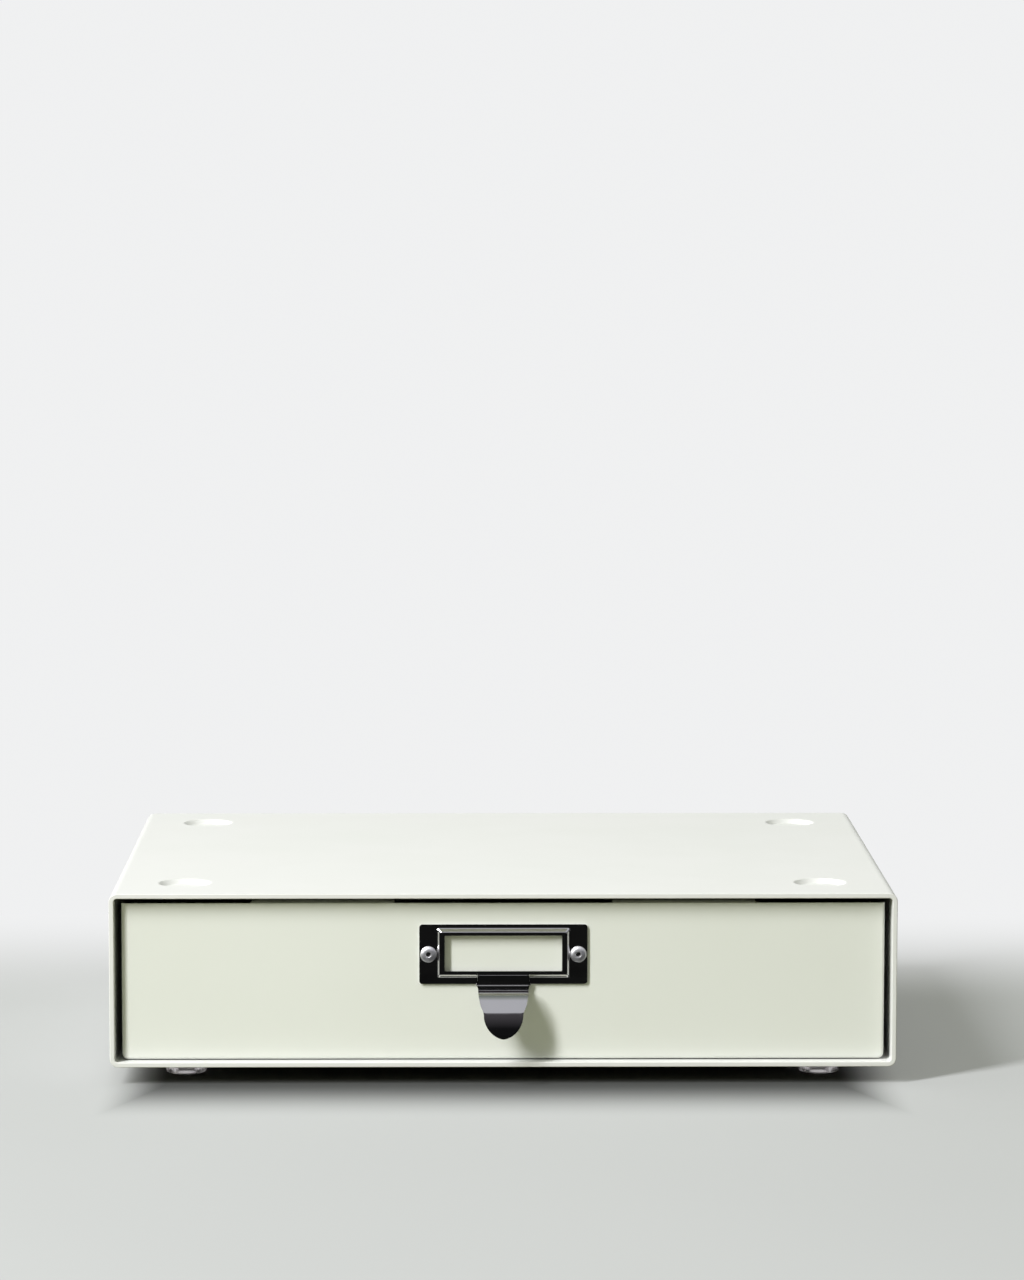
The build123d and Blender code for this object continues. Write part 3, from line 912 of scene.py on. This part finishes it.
# %% Give the label holder its thickness and edges
edge_round = 0.13
front_faces_out = holder_mesh.polygons[0].normal.y < 0
thickness = holder.modifiers.new("sheet", "SOLIDIFY")
thickness.thickness = (sheet - hair_gap) * MM
thickness.offset = -1.0 if front_faces_out else 1.0
thickness.use_even_offset = True
edges = holder.modifiers.new("edges", "BEVEL")
edges.width = edge_round * MM
edges.segments = 3
edges.limit_method = "ANGLE"
edges.angle_limit = radians(60)
flat = holder.modifiers.new("flat faces", "WEIGHTED_NORMAL")
flat.keep_sharp = True
flat.weight = 60
print("label holder:", [modifier.name for modifier in holder.modifiers])


# %% [markdown]
# ## Floor and background
#
# The unit stands on a plain pale floor. A floor that ends shows a hard horizon, so its surface
# fades, behind the unit and far away from it on every side, into the same pale colour that the
# world shows behind it. The fade is a plain glow that only the camera, mirrors and clear plastic
# see, so it adds no light to the object. Near the unit a fifth of the open floor is that glow as
# well, a painted light that lifts the unit's cast shadow on the floor. Under the unit and just
# before its front the floor has a painted shade: ramps along X and Y draw it, and light that
# bounces up from the floor meets an even, warmer tone instead, so the shade stays on the floor.
# Through the clear feet the floor glows much more, a painted glow that makes the feet look bright.

# %% Helpers for sums, ramps and mixes
def combine(tree, operation, first, second=0.0):
    """One sum on two values."""
    return add_node(tree, "ShaderNodeMath", {0: first, 1: second}, operation=operation).outputs[0]


def ramp_up(tree, value, start, end):
    """0 before the start and 1 after the end, with a smooth rise between."""
    inputs = {"Value": value, 1: start, 2: end}
    return add_node(tree, "ShaderNodeMapRange", inputs, interpolation_type="SMOOTHSTEP").outputs[0]


def rescaled(tree, value, low, high):
    """Bring a value that runs from 0 to 1 to the range from low to high."""
    return add_node(tree, "ShaderNodeMapRange", {"Value": value, 3: low, 4: high}).outputs[0]


def vector_math(tree, operation, inputs):
    """One sum on vectors. Its result may be a vector or a value, so the whole node is returned."""
    return add_node(tree, "ShaderNodeVectorMath", inputs, operation=operation)


def mixed_colour(tree, share, first, second):
    """The first colour where the share is 0 and the second where it is 1."""
    inputs = {0: share, 6: first, 7: second}
    return add_node(tree, "ShaderNodeMix", inputs, data_type="RGBA").outputs[2]


# %% Lay the floor
floor_radius = 30.0
build = bmesh.new()
bmesh.ops.create_circle(build, cap_ends=True, segments=128, radius=floor_radius)
floor_mesh = bpy.data.meshes.new("floor")
build.to_mesh(floor_mesh)
build.free()
floor = show("floor", floor_mesh)
print("floor", 2 * floor_radius, "m across")


# %% Where the floor fades, where shade is painted on it, and which rays see it
fade_start, fade_end = 0.07, 0.34
horizon_start, horizon_end = 0.8, 2.0
shade_inside, shade_outside, shade_front = 0.025, 0.004, 0.07
shell_low, shell_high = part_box("shell")
half_width, front_edge = shell_high.x, shell_low.y

floor_material, tree, shader = new_material("pale_floor", Roughness=0.7, Specular_IOR_Level=0.0)
place = add_node(tree, "ShaderNodeTexCoord").outputs["Object"]
place_axes = add_node(tree, "ShaderNodeSeparateXYZ", {0: place}).outputs
from_middle = combine(tree, "ABSOLUTE", place_axes["X"])
distance = vector_math(tree, "LENGTH", {0: place}).outputs["Value"]

far = ramp_up(tree, place_axes["Y"], fade_start, fade_end)
distant = ramp_up(tree, distance, horizon_start, horizon_end)
beside = ramp_up(tree, from_middle, half_width - shade_inside, half_width + shade_outside)
before = ramp_up(tree, place_axes["Y"], front_edge, front_edge - shade_front)
open_floor = combine(tree, "MAXIMUM", combine(tree, "MAXIMUM", beside, before), far)

path = add_node(tree, "ShaderNodeLightPath").outputs
seen = combine(tree, "MAXIMUM", path["Is Camera Ray"], path["Is Glossy Ray"])
seen = combine(tree, "MAXIMUM", seen, path["Is Transmission Ray"])
print("the floor's shade starts at y", round(front_edge - shade_front, 3), "m")


# %% Colour the floor
backdrop_colour = (0.87, 0.875, 0.88, 1.0)
bounce_colour = (0.33, 0.335, 0.24, 1)
deepest_shade, painted_glow_near, glow_in_plastic = 0.18, 0.2, 0.85

pale = tint(tree, noise(tree, 400), (0.49, 0.50, 0.51), (0.51, 0.52, 0.53))
# painted shade: the floor darkens to its deepest under the unit and just before its front
shade = rescaled(tree, open_floor, deepest_shade, 1.0)
pale = vector_math(tree, "SCALE", {0: pale, "Scale": shade}).outputs["Vector"]
tree.links.new(mixed_colour(tree, seen, bounce_colour, pale), shader.inputs["Base Color"])

# painted light: near the unit a fifth of the open floor glows, which lifts the unit's cast shadow
haze = combine(tree, "MULTIPLY", rescaled(tree, far, painted_glow_near, 1.0), open_floor)
haze = combine(tree, "MAXIMUM", haze, distant)
# painted glow: seen through clear plastic the floor glows strongly, so the feet look bright
in_plastic = combine(tree, "MULTIPLY", path["Is Transmission Ray"], glow_in_plastic)
haze = combine(tree, "MAXIMUM", haze, in_plastic)
glow_share = combine(tree, "MULTIPLY", haze, seen)
glow = add_node(tree, "ShaderNodeEmission", {"Color": backdrop_colour, "Strength": 1.0})
surfaces = {0: glow_share, 1: shader.outputs[0], 2: glow.outputs[0]}
mixed = add_node(tree, "ShaderNodeMixShader", surfaces).outputs[0]
tree.links.new(mixed, tree.nodes["Material Output"].inputs["Surface"])
floor_mesh.materials.append(floor_material)
print("floor coloured:", floor_material.name)


# %% [markdown]
# ## Studio light
#
# Polished metal shows its surroundings, so the room matters as much as the lamp. Mirror rays see
# the pale backdrop behind the unit, a bright ceiling with a darker patch overhead, and a dark
# room on the camera's side, as a room is behind a photographer. A direction is a vector of length
# 1, so its Z tells how high it points and its Y how far back, and ramps over these two divide the
# room. How near a direction comes to the middle of the dark patch is the dot product of the two.

# %% Divide the room
ceiling_edge, backdrop_edge, gloom_low, gloom_high = (0.38, 0.43), (0.05, 0.4), 0.14, 0.42
patch_direction, patch_edge = (0, 0.208, 0.978), (0.84, 1.0)

world = bpy.data.worlds.new("studio")
bpy.context.scene.world = world
world.use_nodes = True
tree = world.node_tree
direction = add_node(tree, "ShaderNodeTexCoord").outputs["Generated"]
axes = add_node(tree, "ShaderNodeSeparateXYZ", {0: direction}).outputs
nearness = vector_math(tree, "DOT_PRODUCT", {0: direction, 1: patch_direction}).outputs["Value"]
overhead = ramp_up(tree, axes["Z"], *ceiling_edge)
zenith = ramp_up(tree, nearness, *patch_edge)
behind = ramp_up(tree, axes["Y"], *backdrop_edge)
dimmed = add_node(tree, "ShaderNodeMapRange", {"Value": axes["Z"], 1: gloom_low, 2: gloom_high})
gloom = dimmed.outputs[0]
print("the ceiling starts", round(degrees(asin(ceiling_edge[0]))), "degrees up")


# %% What mirrors and the camera see
bright_ceiling, ceiling_patch = (0.56, 0.57, 0.62, 1), (0.22, 0.25, 0.23, 1)
darkest_room, dim_room = (0.008, 0.008, 0.009, 1), (0.085, 0.08, 0.09, 1)

low_room = mixed_colour(tree, gloom, darkest_room, dim_room)
ceiling = mixed_colour(tree, zenith, bright_ceiling, ceiling_patch)
room = mixed_colour(tree, overhead, low_room, ceiling)
path = add_node(tree, "ShaderNodeLightPath").outputs
mirrored = combine(tree, "MAXIMUM", path["Is Glossy Ray"], path["Is Transmission Ray"])
shown = combine(tree, "MAXIMUM", path["Is Camera Ray"], combine(tree, "MULTIPLY", mirrored, behind))
sky = mixed_colour(tree, shown, room, backdrop_colour)
print("mirrors see a ceiling of", bright_ceiling[:3], "with a patch of", ceiling_patch[:3])


# %% [markdown]
# ## Fill light
#
# Diffuse rays carry the light that softens the shadows. They get a calmer ceiling of their own,
# so that the fill and the reflections can be set apart. It is a little yellow-green, as light is
# that comes off a cream reflector, and a faint low part keeps the deepest gaps from going fully
# black.

# %% What lights the object softly
low_fill = (0.012, 0.012, 0.011, 1)
ceiling_fill, patch_fill = (0.38, 0.405, 0.29, 1), (0.25, 0.265, 0.195, 1)

fill = mixed_colour(tree, overhead, low_fill, mixed_colour(tree, zenith, ceiling_fill, patch_fill))
light = mixed_colour(tree, path["Is Diffuse Ray"], sky, fill)
tree.links.new(light, tree.nodes["Background"].inputs["Color"])
print("the room has", len(tree.nodes), "nodes")


# %% [markdown]
# ## The lamp
#
# One tall, narrow lamp stands up to the left and in front. It brightens the top more than the
# front, and because it is narrow, the shadows that it throws to the right have clean sides.

# %% Hang the lamp
unit_middle = Vector((0, 0, 0.05))


def soft_lamp(name, place, width, height, power):
    """A rectangular area lamp that faces the middle of the unit."""
    data = bpy.data.lights.new(name, "AREA")
    data.shape = "RECTANGLE"
    data.size = width
    data.size_y = height
    data.energy = power
    lamp = show(name, data)
    lamp.location = place
    lamp.rotation_euler = (unit_middle - Vector(place)).to_track_quat("-Z", "Y").to_euler()
    return lamp


key_lamp = soft_lamp("key_lamp", (-1.78, -1.62, 2.0), width=0.4, height=2.0, power=121.0)
print("key lamp", round(key_lamp.location.length, 2), "m away")


# %% [markdown]
# ## A dark card for the metal
#
# Photographers lay a black card in front of polished metal to give it dark planes. Ours lies on
# the floor on the camera's side and reaches to its edge, so that no bright strip of far floor
# shows in the pull's tip. Only mirror rays see it, so it darkens nothing else.

# %% Lay the dark card
build = bmesh.new()
near, far, half, lift = -0.145, -29.0, 3.0, 0.0004
corners = [(-half, near), (half, near), (half, far), (-half, far)]
build.faces.new([build.verts.new((x, y, lift)) for x, y in corners])
card_mesh = bpy.data.meshes.new("dark_card")
build.to_mesh(card_mesh)
build.free()
card = show("dark_card", card_mesh)
print("card from y", near, "to", far)


# %% Blacken the card and hide it from all but mirror rays
card_material, tree, shader = new_material("dark_card", Roughness=1.0, Specular_IOR_Level=0.0)
felt = tint(tree, noise(tree, 30), (0.005, 0.005, 0.0055), (0.009, 0.009, 0.0095))
tree.links.new(felt, shader.inputs["Base Color"])
card_mesh.materials.append(card_material)
card.visible_camera = False
card.visible_diffuse = False
card.visible_transmission = False
card.visible_shadow = False
print("card seen by mirrors:", card.visible_glossy)


# %% [markdown]
# ## Check the size and hand over
#
# The colour view is the plain one, in which a colour renders as it is written.

# %% Set the colour view
bpy.context.scene.view_settings.view_transform = "Standard"
bpy.context.view_layer.update()
